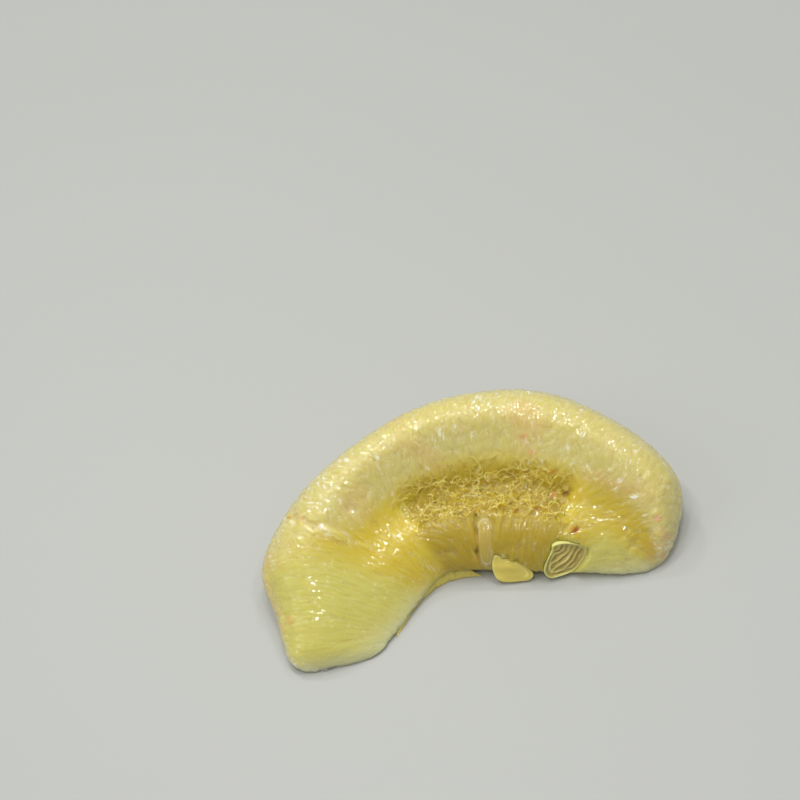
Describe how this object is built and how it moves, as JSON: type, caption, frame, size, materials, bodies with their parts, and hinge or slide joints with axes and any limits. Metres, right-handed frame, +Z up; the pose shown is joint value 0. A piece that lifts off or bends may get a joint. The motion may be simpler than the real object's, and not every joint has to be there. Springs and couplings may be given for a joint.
{
  "type": "peeled pomelo segment",
  "caption": "Peeled pomelo segment lying on its flat side: a half-moon wedge of bare juice sacs, with a seed and scraps of membrane at the core edge.",
  "frame": {"origin": "centre of the footprint, on the surface that the segment lies on", "axes": "+X along the half-moon from its left foot to its right foot, +Y from the core edge to the rind side, +Z up"},
  "size_m": [0.125, 0.071, 0.032],
  "materials": {
    "juice_sacs": "wet, translucent pale yellow fruit flesh",
    "seed_coat": "pale yellow-green rim, brown-grey hollow face",
    "waxy_membrane": "smooth waxy yellow membrane",
    "core_strip_membrane": "thin moist yellow membrane"
  },
  "bodies": {
    "root": {"flesh": "juice_sacs", "seed": "seed_coat", "membrane_flap": "waxy_membrane", "core_membrane": "core_strip_membrane"}
  },
  "joints": []
}
